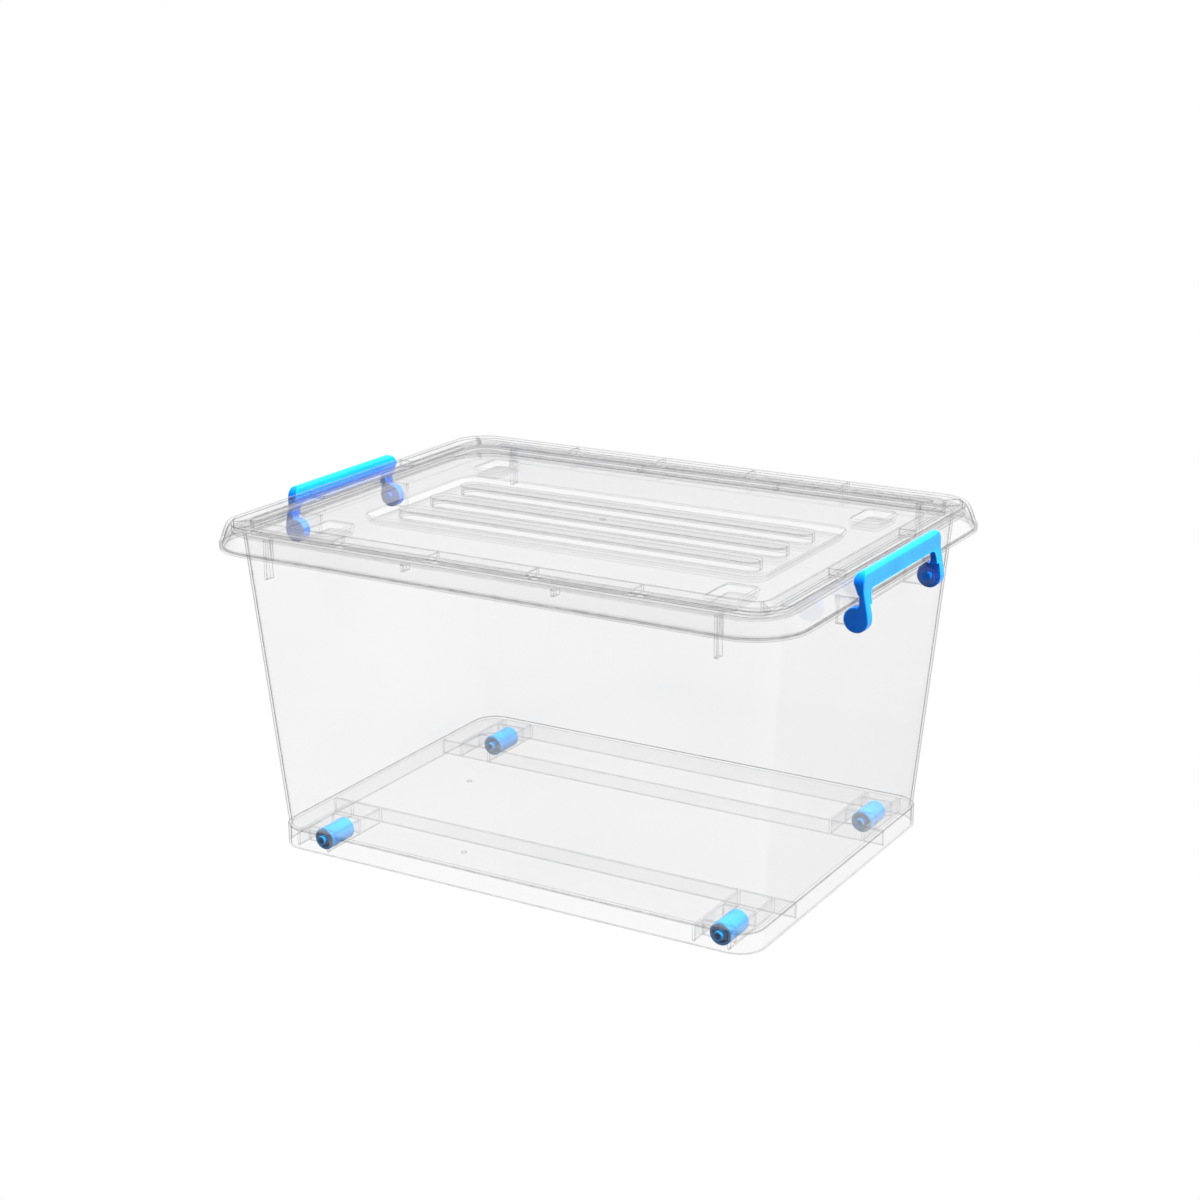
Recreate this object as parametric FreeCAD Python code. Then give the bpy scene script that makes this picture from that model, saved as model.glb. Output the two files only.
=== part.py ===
import FreeCAD, Part
import math
import os
from FreeCAD import Vector

# Clear wheeled storage box: a tapered tub on four rollers, a lid, and a swing clip at
# each short end.  Millimetres, +Z up, +X along the length.  The origin is on the ground
# under the centre of the box, where the rollers touch.

# Overall sizes
rim_length = 600.0          # over the tub's rim lip, along X
rim_width = 458.0           # over the tub's rim lip, along Y
rim_corner = 52.0           # corner radius of the rim lip
wall_height = 294.4         # floor of the tub to the top of its rim
base_height = 20.1          # skirt under the floor

# Tub walls and floor
wall = 2.2
floor_thickness = 2.3
wall_taper = 23.5           # each wall leans out this far over its height
rim_overhang = 22.0         # wall to the edge of the rim lip
floor_corner = 24.5
wall_top_corner = 30.0
base_step = 1.3             # skirt stands proud of the wall
under_rib = 2.0             # ribs under the floor
rib_lift = 3.0              # ribs end this far above the skirt's edge
long_rib_offset = 95.5      # long floor ribs from the centre line

# Tub rim
rim_thickness = 2.0
rim_shelf = 11.0            # flat top of the rim, outside the wall
lip_height = 2.5
lip_depth = 4.8
apron_offset = 2.8          # sloping apron's foot, in from the lip's edge
apron_drop = 13.7           # rim top to the lip's top
bracket_depth = 9.5         # ribs under the rim, out from the wall
bracket_thickness = 3.0
bracket_length = 38.0
tab_length = 7.5
bracket_margin = 46.0       # outermost bracket from the wall's end

# Lid
seat_gap = 0.3              # lid to rim, and lid to lip
lid_thickness = 2.0
skirt_thickness = 2.2
crest_height = 22.4         # lid's lip to its crest
crest_inset = 13.5          # crest's outer edge from the lip's edge
crest_width = 2.5
crest_corner = 33.0
ridge_inset = 32.2          # inner ridge from the lip's edge
ridge_corner = 15.0
plate_drop = 10.7           # crest to the lid's flat plate
moat_rib = 1.6
moat_pad_width = 9.0
moat_pad_height = 0.7
pad_gap = 6.0               # moat pads end this far from a rib
panel_margin_x = 54.8       # plate's edge to the sunken panel
panel_margin_y = 103.8
panel_corner = 17.0
panel_depth = 6.7
panel_draft = 4.7
bar_count = 3               # raised bars on the panel
bar_pitch = 53.5
bar_width = 24.0
bar_height = 8.0            # panel to the bar's top
bar_end_gap = 20.0          # bar's end to the panel's edge
pocket_length = 44.0        # pockets for the rollers of a box on top
pocket_width = 29.6
pocket_depth = 8.0
pocket_shift = 3.4          # pocket's centre from the roller's, towards the middle
pocket_corner = 4.0
pocket_draft = 2.0
gate_radius = 3.0
gate_height = 0.5

# Outline of the lid's skirt: in from the lip's edge, and above the lid's foot
skirt_steps = (
    (0.0, 2.5), (1.6, 4.7), (5.2, 13.7), (8.0, 18.9), (10.3, 21.4), (crest_inset, crest_height),
)

# Rollers
roller_radius = 10.75
roller_tyre = 2.6
roller_recess = 9.0
roller_hub = 5.6
stub_radius = 4.5
stub_bore = 3.0
stub_reach = 3.0            # stub beyond the far face of its wall
roller_clearance = 0.08     # stub in its bore, radial
roller_side_gap = 0.4
roller_headroom = 0.7       # roller to the underside of the floor
roller_bay_length = 35.5    # between the cross walls, along Y
roller_bay_width = 32.5     # between the side ribs, along X
roller_inset_x = 41.1       # roller's centre from the skirt's end
roller_inset_y = 36.5
snap_mouth = 7.8            # opening under each bore

# Swing clips
clip_width = 169.0          # over both arms
arm_width = 9.5
opening_margin = 13.5       # clip's side to the finger opening, above the lip
arm_gap = 0.8               # arm to lug
lug_thickness = 3.0
lug_radius = 9.0
pin_radius = 4.0
pin_reach = 1.5             # pin beyond the lug
pin_clearance = 0.08
pivot_inset = 2.0           # pivot's axis from the lip's edge
pivot_drop = 14.8           # pivot's axis under the lip
arm_boss = 11.5
clip_clearance = 0.6        # clip to the lip and to the skirt of the lid
clip_rise = 2.8             # clip's top above the lid's crest
bar_thickness = 4.6
bail_height = 17.2          # bar of the clip, seen from outside
clip_corner = 11.0
opening_corner = 7.0
clip_edge = 1.2
grip_drop = 8.0             # grip band's foot below the lip's top
grip_thickness = 2.4
grip_inset = 1.5

# Levels
floor_top = 2 * roller_radius + roller_headroom + floor_thickness
ground_clearance = floor_top - base_height
rim_top = floor_top + wall_height
lip_top = rim_top - apron_drop
lid_foot = lip_top + seat_gap
crest_top = lid_foot + crest_height
moat_floor = rim_top + seat_gap + lid_thickness
plate_top = crest_top - plate_drop
pivot_z = lip_top - lip_height - pivot_drop
clip_top = crest_top + clip_rise

# Half sizes
lip_x = rim_length / 2
lip_y = rim_width / 2
top_x = lip_x - rim_overhang
top_y = lip_y - rim_overhang
floor_x = top_x - wall_taper
floor_y = top_y - wall_taper
base_x = floor_x + base_step
base_y = floor_y + base_step
roller_x = base_x - roller_inset_x
roller_y = base_y - roller_inset_y
panel_x = lip_x - ridge_inset - panel_margin_x
panel_y = lip_y - ridge_inset - panel_margin_y
pivot_x = lip_x - pivot_inset
arm_outer = clip_width / 2
arm_inner = arm_outer - arm_width
lug_outer = arm_inner - arm_gap
lug_inner = lug_outer - lug_thickness


def rounded_wire(half_x, half_y, radius, z):
    """Closed rounded rectangle, centred on the Z axis."""
    edges = []
    centres = ((1, 1), (-1, 1), (-1, -1), (1, -1))
    points = []
    for index, (sx, sy) in enumerate(centres):
        cx = sx * (half_x - radius)
        cy = sy * (half_y - radius)
        arc = []
        for step in (0, 45, 90):
            angle = math.radians(index * 90 + step)
            arc.append(Vector(cx + radius * math.cos(angle), cy + radius * math.sin(angle), z))
        points.append(arc)
    for index, arc in enumerate(points):
        following = points[(index + 1) % 4]
        edges.append(Part.Arc(*arc).toShape())
        edges.append(Part.makeLine(arc[2], following[0]))
    return Part.Wire(edges)


def slab(half_x, half_y, radius, low, high):
    """Upright prism with a rounded rectangular outline."""
    face = Part.Face(rounded_wire(half_x, half_y, radius, low))
    return face.extrude(Vector(0, 0, high - low))


def stack(rings):
    """Solid through rounded rectangles, each (half_x, half_y, radius, z)."""
    return Part.makeLoft([rounded_wire(*ring) for ring in rings], True, True)


def block(x0, x1, y0, y1, z0, z1):
    """Box between two corners."""
    return Part.makeBox(x1 - x0, y1 - y0, z1 - z0, Vector(x0, y0, z0))


def post(radius, length, x, y, z):
    """Cylinder along +Y, starting at the given point."""
    return Part.makeCylinder(radius, length, Vector(x, y, z), Vector(0, 1, 0))


def join(shapes):
    """One clean solid from overlapping shapes."""
    result = shapes[0].fuse(shapes[1:])
    return result.removeSplitter()


def mirrored_x(shape):
    return shape.mirror(Vector(0, 0, 0), Vector(1, 0, 0))


def mirrored_y(shape):
    return shape.mirror(Vector(0, 0, 0), Vector(0, 1, 0))


def four_corners(shape):
    """The shape and its mirror images in both upright planes."""
    pair = [shape, mirrored_x(shape)]
    return pair + [mirrored_y(item) for item in pair]


def in_from_lip(inset, radius, z):
    """Ring of the rim or lid, measured in from the lip's edge."""
    return (lip_x - inset, lip_y - inset, radius, z)


# ---------------------------------------------------------------- tub

def wall_half(z):
    """How far the wall's outer face has leaned out at this height."""
    return wall_taper * (z - floor_top) / wall_height


def tub_shell():
    low = floor_top - floor_thickness
    outer = stack([
        (floor_x, floor_y, floor_corner, low),
        (floor_x, floor_y, floor_corner, floor_top),
        (top_x, top_y, wall_top_corner, rim_top),
    ])
    inner = stack([
        (floor_x - wall, floor_y - wall, floor_corner - wall, floor_top),
        (top_x - wall, top_y - wall, wall_top_corner - wall, rim_top + 1e-3),
    ])
    return outer.cut(inner)


def base_skirt():
    outer = slab(base_x, base_y, floor_corner + base_step, ground_clearance, floor_top - 0.6)
    inner_x = base_x - wall
    inner_y = base_y - wall
    inner_corner = floor_corner + base_step - wall
    inner = slab(inner_x, inner_y, inner_corner, ground_clearance - 1, floor_top)
    return outer.cut(inner)


def tub_rim():
    shelf_inset = rim_overhang - rim_shelf
    shelf_corner = wall_top_corner + rim_shelf
    foot_corner = rim_corner - apron_offset
    outer = stack([
        in_from_lip(apron_offset, foot_corner, lip_top - lip_height),
        in_from_lip(apron_offset, foot_corner, lip_top),
        in_from_lip(shelf_inset, shelf_corner, rim_top),
    ])
    inner = stack([
        in_from_lip(apron_offset + rim_thickness, foot_corner - rim_thickness, lip_top - lip_height - 1),
        in_from_lip(apron_offset + rim_thickness, foot_corner - rim_thickness, lip_top - rim_thickness),
        in_from_lip(shelf_inset + rim_thickness, shelf_corner - rim_thickness, rim_top - rim_thickness),
    ])
    mouth = slab(top_x - wall / 2, top_y - wall / 2, wall_top_corner, rim_top - 5, rim_top + 1)
    lip = slab(lip_x, lip_y, rim_corner, lip_top - lip_height, lip_top)
    lip_hole = slab(lip_x - lip_depth, lip_y - lip_depth, rim_corner - lip_depth, lip_top - 9, rim_top)
    return outer.cut(inner).cut(mouth).fuse(lip.cut(lip_hole))


def rim_bracket(x, length):
    """Upright rib between the wall and the underside of the rim, on the +Y side."""
    high = rim_top - rim_thickness / 2
    low = high - length
    face = floor_y + wall_half(low)
    return block(
        x - bracket_thickness / 2, x + bracket_thickness / 2,
        face - wall / 2, face + bracket_depth, low, high,
    )


def rim_brackets():
    """Long, short, short, long along each long wall, evenly spaced."""
    end = top_x - bracket_margin
    pitch = 2 * end / 3
    shapes = []
    for index, length in enumerate((bracket_length, tab_length, tab_length, bracket_length)):
        bracket = rim_bracket(-end + index * pitch, length)
        shapes += [bracket, mirrored_y(bracket)]
    return shapes


def under_ribs():
    """Long ribs under the floor, and the side ribs of each roller bay."""
    low = ground_clearance + rib_lift
    high = floor_top - floor_thickness / 2
    reach = base_x - wall / 2
    half = under_rib / 2
    shapes = []
    long_rib = block(-reach, reach, long_rib_offset - half, long_rib_offset + half, low, high)
    shapes += [long_rib, mirrored_y(long_rib)]
    for side in (-1, 1):
        x = roller_x + side * (roller_bay_width + under_rib) / 2
        end_y = bay_reach(x)
        rib = block(x - half, x + half, long_rib_offset, end_y, low, high)
        shapes += four_corners(rib)
    return shapes


def bay_reach(x):
    """How far along Y a rib at this X reaches before it meets the skirt."""
    corner = floor_corner + base_step
    past_corner = max(0.0, x - (base_x - corner))
    inner = corner - wall / 2
    drop = inner - math.sqrt(max(0.0, inner ** 2 - past_corner ** 2))
    return base_y - wall / 2 - drop


def roller_walls():
    """Cross walls that carry one roller's stubs, with a snap mouth under each bore."""
    shapes = []
    half_width = roller_bay_width / 2 + under_rib
    for side in (-1, 1):
        inner = roller_y + side * roller_bay_length / 2
        outer = inner + side * under_rib
        shapes.append(block(
            roller_x - half_width, roller_x + half_width,
            min(inner, outer), max(inner, outer),
            ground_clearance + rib_lift, floor_top - floor_thickness / 2,
        ))
    walls = shapes[0].fuse(shapes[1])
    span = roller_bay_length + 4 * under_rib
    start = roller_y - span / 2
    bore = post(stub_radius + roller_clearance, span, roller_x, start, roller_radius)
    mouth = block(
        roller_x - snap_mouth / 2, roller_x + snap_mouth / 2,
        start, start + span, ground_clearance - 1, roller_radius,
    )
    return walls.cut(bore.fuse(mouth))


def clip_lug():
    """Plate under the rim that carries one clip pin, at the +X end."""
    top = lip_top - lip_height / 2
    low = pivot_z - lug_radius
    root = floor_x + wall_half(low) - wall / 2
    plate = block(root, pivot_x, lug_inner, lug_outer, low, top)
    end = post(lug_radius, lug_thickness, pivot_x, lug_inner, pivot_z)
    bore = post(pin_radius + pin_clearance, lug_thickness + 2, pivot_x, lug_inner - 1, pivot_z)
    return plate.fuse(end).cut(bore)


def grip_band():
    """Band below the rim between the lugs, at the +X end, with rounded lower corners."""
    outer = lip_x - grip_inset
    inner = outer - grip_thickness
    low = lip_top - grip_drop
    high = lip_top - lip_height / 2
    band = block(inner, outer, -lug_inner, lug_inner, low, high)
    edges = [
        edge for edge in band.Edges
        if edge.BoundBox.XLength > grip_thickness / 2
        and edge.BoundBox.ZMax < low + 1e-6
    ]
    return band.makeFillet(grip_drop / 2, edges)


def make_tub():
    solids = [tub_shell(), base_skirt(), tub_rim()]
    solids += rim_brackets()
    solids += under_ribs()
    solids += four_corners(roller_walls())
    solids += four_corners(clip_lug())
    band = grip_band()
    solids += [band, mirrored_x(band)]
    tub = join(solids)
    for x in (roller_x, -roller_x):
        for y in (roller_y, -roller_y):
            tub = tub.cut(roller_room(x, y))
    return tub


def roller_room(x, y):
    """Space that one roller turns in."""
    radius = roller_radius + roller_headroom - 0.1
    length = roller_bay_length
    return post(radius, length, x, y - length / 2, roller_radius)


# ---------------------------------------------------------------- lid

def skirt_profile(inset, drop):
    """Rings of the lid's skirt from its foot to its crest, moved in and down."""
    rings = [in_from_lip(inset, rim_corner - inset, lid_foot - drop)]
    for step_in, rise in skirt_steps:
        corner = rim_corner - (rim_corner - crest_corner) * step_in / crest_inset
        rings.append(in_from_lip(inset + step_in, corner - inset, lid_foot + rise - drop))
    return rings


def ring(inset, corner, width, low, high):
    """Upright wall that follows the rim."""
    outer = slab(lip_x - inset, lip_y - inset, corner, low, high)
    inner = slab(
        lip_x - inset - width, lip_y - inset - width, corner - width, low - 1, high + 1,
    )
    return outer.cut(inner)


def lid_rim():
    """Skirt, crest, moat and inner ridge."""
    shell = stack(skirt_profile(0, 0)).cut(stack(skirt_profile(skirt_thickness, lid_thickness)))
    below = slab(lip_x - skirt_thickness, lip_y - skirt_thickness, rim_corner - skirt_thickness,
                 lid_foot - 5, lid_foot + 0.2)
    crest_in = crest_inset + crest_width
    crest_in_corner = crest_corner - crest_width
    mouth = slab(lip_x - crest_in, lip_y - crest_in, crest_in_corner, lid_foot, crest_top + 1)
    shell = shell.cut(below).cut(mouth)
    outer_wall = ring(
        crest_in - lid_thickness, crest_in_corner + lid_thickness, lid_thickness,
        moat_floor - lid_thickness, crest_top,
    )
    floor_inset = crest_in - lid_thickness
    moat_width = ridge_inset + lid_thickness - floor_inset
    floor_outer = slab(
        lip_x - floor_inset, lip_y - floor_inset, crest_in_corner + lid_thickness,
        moat_floor - lid_thickness, moat_floor,
    )
    floor_hole = slab(
        lip_x - floor_inset - moat_width, lip_y - floor_inset - moat_width,
        ridge_corner - lid_thickness, moat_floor - lid_thickness - 1, moat_floor + 1,
    )
    ridge = ring(ridge_inset, ridge_corner, lid_thickness, plate_top - lid_thickness, crest_top)
    return [shell, outer_wall, floor_outer.cut(floor_hole), ridge]


def moat_middle():
    """Middle of the moat, in from the lip's edge."""
    return (crest_inset + crest_width + ridge_inset) / 2


def moat_rib_places():
    """Places of the moat's ribs along X and along Y."""
    pitch = 2 * (lip_x - ridge_inset - 0.7 * ridge_corner) / 5
    return [-1.5 * pitch, -0.5 * pitch, 0.5 * pitch, 1.5 * pitch], [-arm_inner, arm_inner]


def moat_ribs():
    low = moat_floor - lid_thickness / 2
    high = crest_top - 0.2
    near = ridge_inset + lid_thickness / 2
    far = crest_inset + crest_width - lid_thickness / 2
    half = moat_rib / 2
    shapes = []
    places_x, places_y = moat_rib_places()
    for x in places_x:
        rib = block(x - half, x + half, lip_y - near, lip_y - far, low, high)
        shapes += [rib, mirrored_y(rib)]
    for y in places_y:
        rib = block(lip_x - near, lip_x - far, y - half, y + half, low, high)
        shapes += [rib, mirrored_x(rib)]
    shapes += four_corners(corner_rib(low, high))
    return shapes


def corner_rib(low, high):
    """Diagonal rib across the moat's corner, from the ridge to the crest."""
    shrink = 1 - math.sqrt(0.5)
    start_inset = ridge_inset + shrink * ridge_corner + lid_thickness / 2
    end_inset = crest_inset + crest_width + shrink * (crest_corner - crest_width) - lid_thickness / 2
    length = (start_inset - end_inset) * math.sqrt(2)
    rib = block(0, length, -moat_rib / 2, moat_rib / 2, low, high)
    rib.rotate(Vector(0, 0, 0), Vector(0, 0, 1), 45)
    rib.translate(Vector(lip_x - start_inset, lip_y - start_inset, 0))
    return rib


def stadium(length, width, low, high):
    """Upright prism with round ends, lying along X."""
    return slab(length / 2, width / 2, width / 2 - 1e-3, low, high)


def moat_pads():
    """Shallow round-ended pads on the moat's floor, between the ribs."""
    shapes = []
    places_x, places_y = moat_rib_places()
    low = moat_floor - lid_thickness / 2
    high = moat_floor + moat_pad_height
    corner = ridge_inset + ridge_corner
    stops_x = [-(lip_x - corner)] + places_x + [lip_x - corner]
    stops_y = [-(lip_y - corner)] + places_y + [lip_y - corner]
    for start, end in zip(stops_x, stops_x[1:]):
        pad = stadium(end - start - 2 * pad_gap, moat_pad_width, low, high)
        pad.translate(Vector((start + end) / 2, lip_y - moat_middle(), 0))
        shapes += [pad, mirrored_y(pad)]
    for start, end in zip(stops_y, stops_y[1:]):
        pad = stadium(end - start - 2 * pad_gap, moat_pad_width, low, high)
        pad.rotate(Vector(0, 0, 0), Vector(0, 0, 1), 90)
        pad.translate(Vector(lip_x - moat_middle(), (start + end) / 2, 0))
        shapes += [pad, mirrored_x(pad)]
    return shapes


def pocket_cup():
    """Drafted cup for one roller of a box stacked on top, and the room inside it."""
    half_x = pocket_width / 2
    half_y = pocket_length / 2
    low = plate_top - pocket_depth
    inside = stack([
        (half_x - pocket_draft, half_y - pocket_draft, pocket_corner, low),
        (half_x, half_y, pocket_corner, plate_top + 1e-3),
    ])
    outside = stack([
        (half_x - pocket_draft + lid_thickness, half_y - pocket_draft + lid_thickness,
         pocket_corner + 1, low - lid_thickness),
        (half_x + lid_thickness, half_y + lid_thickness, pocket_corner + 1, plate_top),
    ])
    place = Vector(roller_x - pocket_shift, roller_y - pocket_shift, 0)
    inside.translate(place)
    outside.translate(place)
    return outside, inside


def panel_tray():
    """Sunken panel: its walls and floor, and the room above it."""
    low = plate_top - panel_depth - lid_thickness
    foot_x = panel_x - panel_draft
    foot_y = panel_y - panel_draft
    grow = lid_thickness
    outside = stack([
        (foot_x + grow, foot_y + grow, panel_corner - panel_draft + grow, low),
        (panel_x + grow, panel_y + grow, panel_corner + grow, plate_top - 1e-3),
    ])
    inside = stack([
        (foot_x, foot_y, panel_corner - panel_draft, low + lid_thickness),
        (panel_x, panel_y, panel_corner, plate_top + 1e-3),
    ])
    return outside, inside


def panel_bars():
    """Raised bars on the panel, hollow underneath."""
    length = 2 * (panel_x - bar_end_gap)
    low = plate_top - panel_depth - lid_thickness
    high = plate_top - panel_depth + bar_height
    shapes = []
    hollows = []
    for index in range(bar_count):
        y = (index - (bar_count - 1) / 2) * bar_pitch
        bar = stadium(length, bar_width, low, high)
        hollow = stadium(length - 2 * lid_thickness, bar_width - 2 * lid_thickness,
                         low - 1, high - lid_thickness)
        bar.translate(Vector(0, y, 0))
        hollow.translate(Vector(0, y, 0))
        shapes.append(bar)
        hollows.append(hollow)
    return shapes, hollows


def make_lid():
    inset = ridge_inset + lid_thickness / 2
    plate = slab(lip_x - inset, lip_y - inset, ridge_corner - lid_thickness / 2,
                 plate_top - lid_thickness, plate_top)
    cup, cup_room = pocket_cup()
    tray, tray_room = panel_tray()
    bars, bar_hollows = panel_bars()
    cups = four_corners(cup)
    rooms = four_corners(cup_room)
    middle = plate.fuse(cups + [tray]).cut(rooms + [tray_room])
    middle = middle.fuse(bars).cut(bar_hollows)
    bar_top = plate_top - panel_depth + bar_height
    gate = Part.makeCylinder(gate_radius, gate_height + 0.5, Vector(0, 0, bar_top - 0.5))
    return join(lid_rim() + [middle, gate] + moat_ribs() + moat_pads())


# ---------------------------------------------------------------- rollers

def make_roller(x, y):
    """Roller with cored ends and a hollow stub at each end, its axis along Y."""
    length = roller_bay_length - 2 * roller_side_gap
    start = y - length / 2
    body = post(roller_radius, length, x, start, roller_radius)
    rim_edges = [edge for edge in body.Edges if edge.BoundBox.YLength < 1e-6]
    body = body.makeChamfer(0.8, rim_edges)
    inner = roller_radius - roller_tyre
    for end in (start, start + length - roller_recess):
        core = post(inner, roller_recess, x, end, roller_radius)
        hub = post(roller_hub, roller_recess, x, end, roller_radius)
        body = body.cut(core.cut(hub))
    stub_length = roller_bay_length + 2 * (under_rib + stub_reach)
    stub = post(stub_radius, stub_length, x, y - stub_length / 2, roller_radius)
    bore = post(stub_bore, stub_length + 2, x, y - stub_length / 2 - 1, roller_radius)
    return body.fuse(stub).cut(bore).removeSplitter()


# ---------------------------------------------------------------- clips

def clip_side_face():
    """Side view of the clip at the +X end: arm, bar and hook, without the round boss."""
    clear = lip_x + clip_clearance
    hook_in = clear - skirt_steps[2][0]
    hook_low = lid_foot + skirt_steps[2][1] + clip_clearance
    face = clear + bar_thickness
    inner = [
        (pivot_x, pivot_z + arm_boss - 1.5),
        (clear, lip_top - lip_height - 1.5),
    ]
    for step_in, rise in skirt_steps[:3]:
        inner.append((clear - step_in, lid_foot + rise + clip_clearance))
    outer = [
        (hook_in, hook_low + 4.5),
        (hook_in + 1.2, clip_top - 2.2),
        (hook_in + 3.4, clip_top - 0.5),
        (face - 4.0, clip_top),
        (face - 1.6, clip_top - 0.8),
        (face - 0.3, clip_top - 2.6),
        (face, clip_top - 5.0),
        (face, lip_top + 9.0),
        (face + 1.8, lip_top - 1.0),
        (pivot_x + arm_boss - 0.6, pivot_z + 6.5),
        (pivot_x + arm_boss, pivot_z + 1.0),
        (pivot_x + arm_boss - 1.2, pivot_z - 3.0),
        (pivot_x, pivot_z - 3.0),
    ]
    points = [Vector(x, -arm_outer, z) for x, z in inner + outer]
    return Part.Face(Part.makePolygon(points + points[:1]))


def clip_front_outline():
    """Front view of the clip as a solid: two arms under a bar, all corners round."""
    low = pivot_z - arm_boss - 1
    depth_start = lip_x - crest_inset
    depth = 60
    outer = block(depth_start, depth_start + depth, -arm_outer, arm_outer, low, clip_top)
    corners = [
        edge for edge in outer.Edges
        if edge.BoundBox.XLength > depth / 2 and edge.BoundBox.ZMin > clip_top - 1e-6
    ]
    outer = outer.makeFillet(clip_corner, corners)
    opening_top = clip_top - bail_height
    opening_half = arm_outer - opening_margin
    opening = block(depth_start - 1, depth_start + depth + 1, -opening_half, opening_half,
                    low - 1, opening_top)
    corners = [
        edge for edge in opening.Edges
        if edge.BoundBox.XLength > depth / 2 and edge.BoundBox.ZMin > opening_top - 1e-6
    ]
    lug_room = block(depth_start - 1, depth_start + depth + 1, -arm_inner, arm_inner,
                     low - 1, pivot_z + arm_boss + 1.5)
    return outer.cut([opening.makeFillet(opening_corner, corners), lug_room])


def make_clip():
    """Clip at the +X end: bail, bosses and inward pins."""
    side = clip_side_face().extrude(Vector(0, clip_width, 0))
    boss = post(arm_boss, clip_width, pivot_x, -arm_outer, pivot_z)
    body = side.fuse(boss).common(clip_front_outline()).removeSplitter()
    body = rounded_clip(body)
    pin_length = arm_gap + lug_thickness + pin_reach
    pin = post(pin_radius, pin_length + 1, pivot_x, arm_inner - pin_length, pivot_z)
    return body.fuse([pin, mirrored_y(pin)]).removeSplitter()


def rounded_clip(body):
    """Rounding along both sides of the clip."""
    edges = [
        edge for edge in body.Edges
        if abs(abs(edge.CenterOfMass.y) - arm_outer) < 1e-3
        and edge.BoundBox.YLength < 1e-6
    ]
    return body.makeFillet(clip_edge, edges)


# ---------------------------------------------------------------- files

def write(name, shape):
    shape.exportStep("parts/" + name + ".step")
    print(name, len(shape.Solids), shape.isValid(), round(shape.Volume / 1000, 1), "cm3")


def main():
    os.makedirs("parts", exist_ok=True)
    write("tub", make_tub())
    write("lid", make_lid())
    clip = make_clip()
    write("clip_right", clip)
    write("clip_left", mirrored_x(clip))
    corners = {
        "front_left": (-1, -1), "front_right": (1, -1),
        "rear_left": (-1, 1), "rear_right": (1, 1),
    }
    for name, (sx, sy) in corners.items():
        write("roller_" + name, make_roller(sx * roller_x, sy * roller_y))


main()
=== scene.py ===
import math

import bpy
from mathutils import Matrix, Vector


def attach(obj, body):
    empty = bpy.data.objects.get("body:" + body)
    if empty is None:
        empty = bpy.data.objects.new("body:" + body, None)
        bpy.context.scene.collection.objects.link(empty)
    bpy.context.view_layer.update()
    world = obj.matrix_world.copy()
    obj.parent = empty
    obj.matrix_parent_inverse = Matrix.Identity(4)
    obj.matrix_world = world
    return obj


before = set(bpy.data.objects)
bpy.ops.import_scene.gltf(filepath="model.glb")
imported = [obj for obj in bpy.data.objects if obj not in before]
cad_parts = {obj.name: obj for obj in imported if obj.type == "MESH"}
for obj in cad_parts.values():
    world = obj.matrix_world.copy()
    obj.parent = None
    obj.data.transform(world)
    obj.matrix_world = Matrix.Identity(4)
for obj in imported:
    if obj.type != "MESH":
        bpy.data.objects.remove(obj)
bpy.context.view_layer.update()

# Clear wheeled storage box.  Metres, +Z up, the front long side faces -Y.

# Camera: its place, its turn and tilt round the box, and its roll
CAMERA_PLACE = Vector((1.0628, -1.8044, 0.8701))
CAMERA_AZIMUTH = math.radians(30.574)
CAMERA_ELEVATION = math.radians(16.755)
CAMERA_ROLL = math.radians(-0.261)
CAMERA_LENS = 69.28
CAMERA_SENSOR = 36.0
CAMERA_NEAR, CAMERA_FAR = 0.05, 300.0

# Colours of the mouldings, linear
TUB_TINT = (0.982, 0.982, 0.982, 1)
TUB_THICK_TINT = (0.974, 0.974, 0.975, 1)
LID_TINT = (0.996, 0.996, 0.996, 1)
LID_THICK_TINT = (0.991, 0.991, 0.992, 1)
# painted shade: grey for the clear parts' edges and slanted walls, standing in for refraction's dark
# lines
CLEAR_PAINTED_SHADE = (0.27, 0.27, 0.275, 1)
MILK_LIGHT = (0.6, 0.6, 0.6, 1)
MILK_DARK = (0.45, 0.45, 0.455, 1)
CLIP_BLUE = (0.0, 0.22, 1.0, 1)
CLIP_DEEP_BLUE = (0.0, 0.19, 0.97, 1)
# painted highlight: lighter blue on the clips' sharp edges
CLIP_HIGHLIGHT_BLUE = (0.0, 0.42, 1.0, 1)
ROLLER_BLUE = (0.0, 0.35, 0.86, 1)
ROLLER_DEEP_BLUE = (0.0, 0.25, 0.75, 1)
# painted highlight: lighter blue on the rollers' sharp edges
ROLLER_HIGHLIGHT_BLUE = (0.0, 0.55, 1.0, 1)

# Surfaces
NOISE_LOW, NOISE_HIGH = 0.35, 0.65      # part of a noise's range that a mask uses
CLOUD_HIGH = 0.68
SMUDGE_SIZE = 14.0
BROKEN_SIZE = 160.0
EDGE_TURN = (0.995, 0.93)               # cosine between the rounded and the true normal
CLEAR_WAVE, CLEAR_GRAIN, CLEAR_CLOUD = 9.0, 700.0, 4.0
CLEAR_EDGE_REACH = 0.0016
CLEAR_EDGE_AMOUNT = 0.8
CLEAR_SHINE = 1.42                      # index of the reflecting skin
CLEAR_BUMP = (0.05, 0.001)
# Painted shade on the clear parts: how fast it grows on the slant, and on upright walls turned away
SLANT_POWER = 7.0
UPRIGHT_NORMAL = (0.35, 0.7)            # height of the normal, upright to lying
OUTLINE_FACING = (0.7, 0.9)
BLUE_WAVE, BLUE_GRAIN, BLUE_CLOUD = 40.0, 1400.0, 38.0
BLUE_EDGE_REACH = 0.0018
BLUE_EDGE_AMOUNT = 0.75
BLUE_SHINE = 1.45
BLUE_GLOSS = 0.25
BLUE_BUMP = (0.05, 0.0005)

# Witness rings on the tub's floor
GATE_RADIUS = 0.0026
GATE_TUBE = 0.00025
GATE_PLACES = ((-0.062, -0.152, 0.0247), (-0.159, 0.003, 0.0247))
RING_TURNS, RING_SIDES = 32, 8

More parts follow.
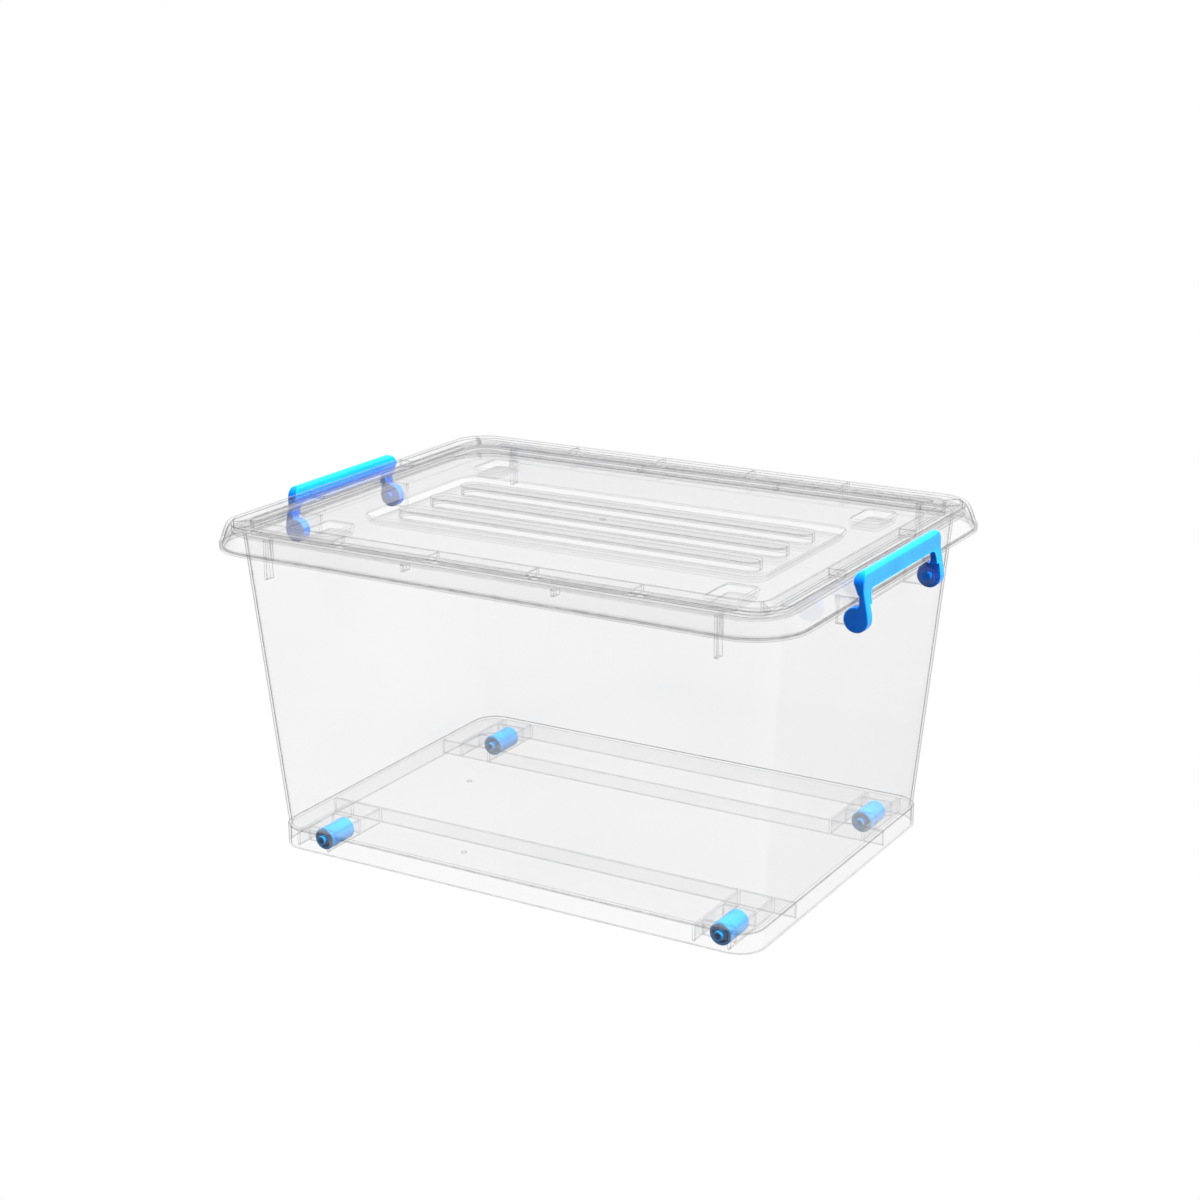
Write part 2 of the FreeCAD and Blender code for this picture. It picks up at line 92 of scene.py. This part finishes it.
# Studio
FLOOR_HALF = 90.0
FLOOR_DROP = 0.0005
FLOOR_BOUNCE = 0.22                     # floor's light on dull surfaces; 1 to the camera
WORLD_DEPTH = (-0.5, 0.6, 0.2, 1.1)     # from in front to behind: direction, then level
WORLD_HEIGHT = (0.1, 0.4, 0.0, 0.85)    # from level to above, for gloss only
SOFTBOXES = (
    # name, place, aim, width, height, power
    ("top_softbox", (0.3, 0.2, 1.9), (0, 0, 0.3), 1.8, 1.3, 130),
    ("right_softbox", (2.1, 0.5, 1.1), (0, 0, 0.2), 1.0, 1.2, 75),
    ("left_softbox", (-2.2, 0.4, 1.2), (0, 0, 0.2), 0.9, 1.2, 8),
)


# ---------------------------------------------------------------- node helpers

def new_group(name, inputs, outputs):
    """Shader node group with named sockets; returns the group and its two end nodes."""
    group = bpy.data.node_groups.new(name, "ShaderNodeTree")
    for socket_name, kind, value in inputs:
        socket = group.interface.new_socket(socket_name, in_out="INPUT", socket_type=kind)
        socket.default_value = value
    for socket_name, kind in outputs:
        group.interface.new_socket(socket_name, in_out="OUTPUT", socket_type=kind)
    return group, group.nodes.new("NodeGroupInput"), group.nodes.new("NodeGroupOutput")


def add_node(tree, kind, **settings):
    """New node with its own settings."""
    node = tree.nodes.new(kind)
    for key, value in settings.items():
        setattr(node, key, value)
    return node


def feed(tree, node, **values):
    """Sets or links a node's inputs: by name, with _ for a space, or by number, as i0."""
    for key, value in values.items():
        socket = node.inputs[int(key[1:])] if key[1:].isdigit() else node.inputs[key.replace("_", " ")]
        if isinstance(value, bpy.types.NodeSocket):
            tree.links.new(value, socket)
        else:
            socket.default_value = value
    return node


def math_node(tree, operation, first, second):
    node = add_node(tree, "ShaderNodeMath", operation=operation)
    return feed(tree, node, i0=first, i1=second).outputs[0]


def colour_mix(tree, amount, first, second):
    node = add_node(tree, "ShaderNodeMix", data_type="RGBA")
    tree.links.new(amount, node.inputs["Factor"])
    for socket, value in ((node.inputs[6], first), (node.inputs[7], second)):
        if isinstance(value, bpy.types.NodeSocket):
            tree.links.new(value, socket)
        else:
            socket.default_value = value
    return node.outputs[2]


def noise(tree, place, scale, detail):
    node = add_node(tree, "ShaderNodeTexNoise")
    return feed(tree, node, Vector=place, Scale=scale, Detail=detail).outputs[0]


def ramp(tree, value, low, high, out_low=0.0, out_high=1.0):
    node = add_node(tree, "ShaderNodeMapRange")
    feed(tree, node, Value=value, From_Min=low, From_Max=high, To_Min=out_low, To_Max=out_high)
    return node.outputs[0]


# ---------------------------------------------------------------- shared effects

def make_moulded_skin():
    """Faint waviness of a moulded skin: slow draw lines and a fine satin grain."""
    group, start, end = new_group(
        "moulded skin",
        [("Wave Size", "NodeSocketFloat", 9.0), ("Grain Size", "NodeSocketFloat", 900.0),
         ("Grain", "NodeSocketFloat", 0.1), ("Roughness", "NodeSocketFloat", 0.1)],
        [("Height", "NodeSocketFloat"), ("Roughness", "NodeSocketFloat")],
    )
    place = add_node(group, "ShaderNodeTexCoord").outputs["Object"]
    wave = noise(group, place, start.outputs["Wave Size"], 2.0)
    grain = noise(group, place, start.outputs["Grain Size"], 2.0)
    fine = math_node(group, "MULTIPLY", grain, start.outputs["Grain"])
    smudge = noise(group, place, SMUDGE_SIZE, 4.0)
    spread = ramp(group, smudge, 0.3, 0.7, 0.6, 1.5)
    feed(group, end,
         Height=math_node(group, "ADD", wave, fine),
         Roughness=math_node(group, "MULTIPLY", start.outputs["Roughness"], spread))
    return group


def make_painted_edge_mask():
    """Mask of sharp edges, in broken patches, for painted edge light: a painted highlight on the blue
    parts and painted grey lines of shade on the clear parts.
    """
    group, start, end = new_group(
        "painted edge mask",
        [("Reach", "NodeSocketFloat", 0.0015), ("Amount", "NodeSocketFloat", 0.6)],
        [("Mask", "NodeSocketFloat")],
    )
    bevel = add_node(group, "ShaderNodeBevel", samples=4)
    feed(group, bevel, Radius=start.outputs["Reach"])
    shape = add_node(group, "ShaderNodeNewGeometry")
    turned = add_node(group, "ShaderNodeVectorMath", operation="DOT_PRODUCT")
    group.links.new(bevel.outputs[0], turned.inputs[0])
    group.links.new(shape.outputs["Normal"], turned.inputs[1])
    edge = ramp(group, turned.outputs["Value"], *EDGE_TURN)
    place = add_node(group, "ShaderNodeTexCoord").outputs["Object"]
    patches = noise(group, place, BROKEN_SIZE, 3.0)
    broken = ramp(group, patches, NOISE_LOW, NOISE_HIGH, 0.6, 1.0)
    # patches break up the painted edge light along each edge
    patchy_edge = math_node(group, "MULTIPLY", edge, broken)
    feed(group, end, Mask=math_node(group, "MULTIPLY", patchy_edge, start.outputs["Amount"]))
    return group


def make_melt_cloud():
    """Mask of slow cloudy patches, where the melt cooled unevenly."""
    group, start, end = new_group(
        "melt cloud",
        [("Size", "NodeSocketFloat", 5.0)],
        [("Mask", "NodeSocketFloat")],
    )
    place = add_node(group, "ShaderNodeTexCoord").outputs["Object"]
    cloud = noise(group, place, start.outputs["Size"], 3.0)
    feed(group, end, Mask=ramp(group, cloud, NOISE_LOW, CLOUD_HIGH))
    return group


MOULDED_SKIN = make_moulded_skin()
PAINTED_EDGE_MASK = make_painted_edge_mask()
MELT_CLOUD = make_melt_cloud()


def place_group(tree, group, **values):
    node = add_node(tree, "ShaderNodeGroup")
    node.node_tree = group
    return feed(tree, node, **values)


def new_material(name):
    material = bpy.data.materials.new(name)
    material.use_nodes = True
    material.node_tree.nodes.clear()
    tree = material.node_tree
    return material, tree, add_node(tree, "ShaderNodeOutputMaterial")


def skin_bump(tree, skin, strength, distance):
    bump = add_node(tree, "ShaderNodeBump")
    feed(tree, bump, Height=skin.outputs["Height"], Strength=strength, Distance=distance)
    return bump.outputs["Normal"]


# ---------------------------------------------------------------- materials

def clear_plastic(name, tint, thick_tint, roughness, milkiness):
    """Clear polypropylene: see-through, with painted grey shade at its sharp edges, on upright walls
    turned away from the camera and where it is seen on the slant, in place of the dark lines that
    refraction draws.
    """
    material, tree, out = new_material(name)
    skin = place_group(tree, MOULDED_SKIN, Wave_Size=CLEAR_WAVE, Grain_Size=CLEAR_GRAIN,
                       Grain=0.05, Roughness=roughness)
    cloud = place_group(tree, MELT_CLOUD, Size=CLEAR_CLOUD)
    painted_edges = place_group(tree, PAINTED_EDGE_MASK, Reach=CLEAR_EDGE_REACH, Amount=CLEAR_EDGE_AMOUNT)
    slant = add_node(tree, "ShaderNodeLayerWeight")
    feed(tree, slant, Blend=0.5)
    # painted shade that grows where the surface is seen on the slant
    steep = math_node(tree, "POWER", slant.outputs["Facing"], SLANT_POWER)
    shape = add_node(tree, "ShaderNodeNewGeometry")
    axes = add_node(tree, "ShaderNodeSeparateXYZ")
    tree.links.new(shape.outputs["Normal"], axes.inputs[0])
    lying = math_node(tree, "ABSOLUTE", axes.outputs["Z"], 0.0)
    upright = ramp(tree, lying, *UPRIGHT_NORMAL, 1.0, 0.0)
    turned_away = ramp(tree, slant.outputs["Facing"], *OUTLINE_FACING)
    outline = math_node(tree, "MULTIPLY", upright, turned_away)
    drawn = math_node(tree, "MAXIMUM", outline, painted_edges.outputs["Mask"])
    # painted shade: the strongest of slant, outline and edge lines
    shade = math_node(tree, "MAXIMUM", steep, drawn)
    plain = colour_mix(tree, cloud.outputs["Mask"], tint, thick_tint)
    through = add_node(tree, "ShaderNodeBsdfTransparent")
    feed(tree, through, Color=colour_mix(tree, shade, plain, CLEAR_PAINTED_SHADE))
    milk = add_node(tree, "ShaderNodeBsdfDiffuse")
    feed(tree, milk,
         Color=colour_mix(tree, cloud.outputs["Mask"], MILK_LIGHT, MILK_DARK),
         Normal=skin_bump(tree, skin, *CLEAR_BUMP))
    body = add_node(tree, "ShaderNodeMixShader")
    feed(tree, body, Fac=milkiness, i1=through.outputs[0], i2=milk.outputs[0])
    gloss = add_node(tree, "ShaderNodeBsdfGlossy")
    feed(tree, gloss, Color=(1, 1, 1, 1), Roughness=skin.outputs["Roughness"],
         Normal=skin_bump(tree, skin, *CLEAR_BUMP))
    mirror = add_node(tree, "ShaderNodeFresnel")
    feed(tree, mirror, IOR=CLEAR_SHINE)
    outside = math_node(tree, "SUBTRACT", 1.0, shape.outputs["Backfacing"])
    shell = add_node(tree, "ShaderNodeMixShader")
    feed(tree, shell, Fac=math_node(tree, "MULTIPLY", mirror.outputs[0], outside),
         i1=body.outputs[0], i2=gloss.outputs[0])
    tree.links.new(shell.outputs[0], out.inputs["Surface"])
    return material


def blue_plastic(name, plain, deep, highlight, roughness):
    """Glossy blue polypropylene with clouded colour and a painted highlight, a lighter blue, along its
    sharp edges.
    """
    material, tree, out = new_material(name)
    skin = place_group(tree, MOULDED_SKIN, Wave_Size=BLUE_WAVE, Grain_Size=BLUE_GRAIN,
                       Grain=0.2, Roughness=roughness)
    cloud = place_group(tree, MELT_CLOUD, Size=BLUE_CLOUD)
    painted_edges = place_group(tree, PAINTED_EDGE_MASK, Reach=BLUE_EDGE_REACH, Amount=BLUE_EDGE_AMOUNT)
    body = colour_mix(tree, cloud.outputs["Mask"], plain, deep)
    shell = add_node(tree, "ShaderNodeBsdfPrincipled")
    feed(tree, shell,
         # painted highlight mixed in along the sharp edges
         Base_Color=colour_mix(tree, painted_edges.outputs["Mask"], body, highlight),
         Roughness=skin.outputs["Roughness"],
         IOR=BLUE_SHINE,
         Specular_IOR_Level=BLUE_GLOSS,
         Normal=skin_bump(tree, skin, *BLUE_BUMP))
    tree.links.new(shell.outputs[0], out.inputs["Surface"])
    return material


def finish_frame():
    """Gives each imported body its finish."""
    tub_clear = clear_plastic("clear_tub", TUB_TINT, TUB_THICK_TINT, roughness=0.05, milkiness=0.01)
    lid_clear = clear_plastic("clear_lid", LID_TINT, LID_THICK_TINT, roughness=0.06, milkiness=0.006)
    clip_blue = blue_plastic("clip_blue", CLIP_BLUE, CLIP_DEEP_BLUE, CLIP_HIGHLIGHT_BLUE, 0.24)
    roller_blue = blue_plastic("roller_blue", ROLLER_BLUE, ROLLER_DEEP_BLUE, ROLLER_HIGHLIGHT_BLUE, 0.3)
    for name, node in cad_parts.items():
        material = roller_blue
        if name == "tub":
            material = tub_clear
        if name == "lid":
            material = lid_clear
        if name.startswith("clip"):
            material = clip_blue
        node.data.materials.clear()
        node.data.materials.append(material)
    add_gate_marks(tub_clear)


def ring_mesh(name, radius, tube):
    """Small raised ring lying flat, centred on the origin."""
    points, faces = [], []
    for turn in range(RING_TURNS):
        angle = 2 * math.pi * turn / RING_TURNS
        for step in range(RING_SIDES):
            tilt = 2 * math.pi * step / RING_SIDES
            reach = radius + tube * math.cos(tilt)
            points.append((reach * math.cos(angle), reach * math.sin(angle), tube * math.sin(tilt)))
            here = turn * RING_SIDES
            there = (turn + 1) % RING_TURNS * RING_SIDES
            after = (step + 1) % RING_SIDES
            faces.append((here + step, there + step, there + after, here + after))
    mesh = bpy.data.meshes.new(name)
    mesh.from_pydata(points, [], faces)
    mesh.shade_smooth()
    return mesh


def add_gate_marks(material):
    """Witness rings that the mould leaves on the floor of the tub."""
    mesh = ring_mesh("gate_ring", GATE_RADIUS, GATE_TUBE)
    mesh.materials.append(material)
    for number, place in enumerate(GATE_PLACES, 1):
        mark = bpy.data.objects.new("gate_mark_%d" % number, mesh)
        bpy.context.scene.collection.objects.link(mark)
        mark.location = place
        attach(mark, "tub")


# ---------------------------------------------------------------- studio

def make_floor():
    """Wide pale floor that shines evenly, so that clear walls show it white."""
    mesh = bpy.data.meshes.new("floor")
    signs = ((-1, -1), (1, -1), (1, 1), (-1, 1))
    corners = [(x * FLOOR_HALF, y * FLOOR_HALF, 0) for x, y in signs]
    mesh.from_pydata(corners, [], [(0, 1, 2, 3)])
    floor = bpy.data.objects.new("floor", mesh)
    bpy.context.scene.collection.objects.link(floor)
    material, tree, out = new_material("pale_floor")
    glow = add_node(tree, "ShaderNodeEmission")
    path = add_node(tree, "ShaderNodeLightPath")
    level = ramp(tree, path.outputs["Is Diffuse Ray"], 0.0, 1.0, 1.0, FLOOR_BOUNCE)
    feed(tree, glow, Color=(1, 1, 1, 1), Strength=level)
    tree.links.new(glow.outputs[0], out.inputs["Surface"])
    mesh.materials.append(material)
    floor.location.z = -FLOOR_DROP


def make_world():
    """White to the camera; for gloss, lighter above and behind the box than in front."""
    world = bpy.data.worlds.new("studio")
    bpy.context.scene.world = world
    world.use_nodes = True
    tree = world.node_tree
    tree.nodes.clear()
    out = add_node(tree, "ShaderNodeOutputWorld")
    direction = add_node(tree, "ShaderNodeTexCoord").outputs["Generated"]
    split = add_node(tree, "ShaderNodeSeparateXYZ")
    tree.links.new(direction, split.inputs[0])
    depth = ramp(tree, split.outputs["Y"], *WORLD_DEPTH)
    height = ramp(tree, split.outputs["Z"], *WORLD_HEIGHT)
    path = add_node(tree, "ShaderNodeLightPath")
    glossy_height = math_node(tree, "MULTIPLY", height, path.outputs["Is Glossy Ray"])
    level = math_node(tree, "MAXIMUM", depth, glossy_height)
    seen = math_node(tree, "MAXIMUM", level, path.outputs["Is Camera Ray"])
    sky = add_node(tree, "ShaderNodeBackground")
    feed(tree, sky, Color=(1, 1, 1, 1), Strength=seen)
    tree.links.new(sky.outputs[0], out.inputs["Surface"])


def add_softbox(name, place, aim, width, height, power):
    light = bpy.data.lights.new(name, "AREA")
    light.shape = "RECTANGLE"
    light.size = width
    light.size_y = height
    light.energy = power
    lamp = bpy.data.objects.new(name, light)
    bpy.context.scene.collection.objects.link(lamp)
    lamp.visible_glossy = False
    lamp.location = place
    lamp.rotation_mode = "QUATERNION"
    lamp.rotation_quaternion = (Vector(aim) - Vector(place)).to_track_quat("-Z", "Y")


def make_lights():
    for softbox in SOFTBOXES:
        add_softbox(*softbox)


def make_camera():
    back = Vector((
        math.sin(CAMERA_AZIMUTH) * math.cos(CAMERA_ELEVATION),
        -math.cos(CAMERA_AZIMUTH) * math.cos(CAMERA_ELEVATION),
        math.sin(CAMERA_ELEVATION),
    ))
    right = Vector((math.cos(CAMERA_AZIMUTH), math.sin(CAMERA_AZIMUTH), 0))
    up = back.cross(right)
    turned_right = right * math.cos(CAMERA_ROLL) + up * math.sin(CAMERA_ROLL)
    turned_up = up * math.cos(CAMERA_ROLL) - right * math.sin(CAMERA_ROLL)
    axes = Matrix((turned_right, turned_up, back)).transposed().to_4x4()
    data = bpy.data.cameras.new("camera")
    data.lens = CAMERA_LENS
    data.sensor_width = CAMERA_SENSOR
    data.clip_start = CAMERA_NEAR
    data.clip_end = CAMERA_FAR
    camera = bpy.data.objects.new("camera", data)
    bpy.context.scene.collection.objects.link(camera)
    camera.matrix_world = Matrix.Translation(CAMERA_PLACE) @ axes
    bpy.context.scene.camera = camera


def set_light_paths():
    """Enough steps for a ray to cross many clear walls."""
    scene = bpy.context.scene
    scene.view_settings.view_transform = "Standard"
    scene.cycles.max_bounces = 28
    scene.cycles.transmission_bounces = 28
    scene.cycles.glossy_bounces = 8
    scene.cycles.transparent_max_bounces = 96
    scene.cycles.caustics_reflective = False


finish_frame()
make_floor()
make_world()
make_lights()
make_camera()
set_light_paths()
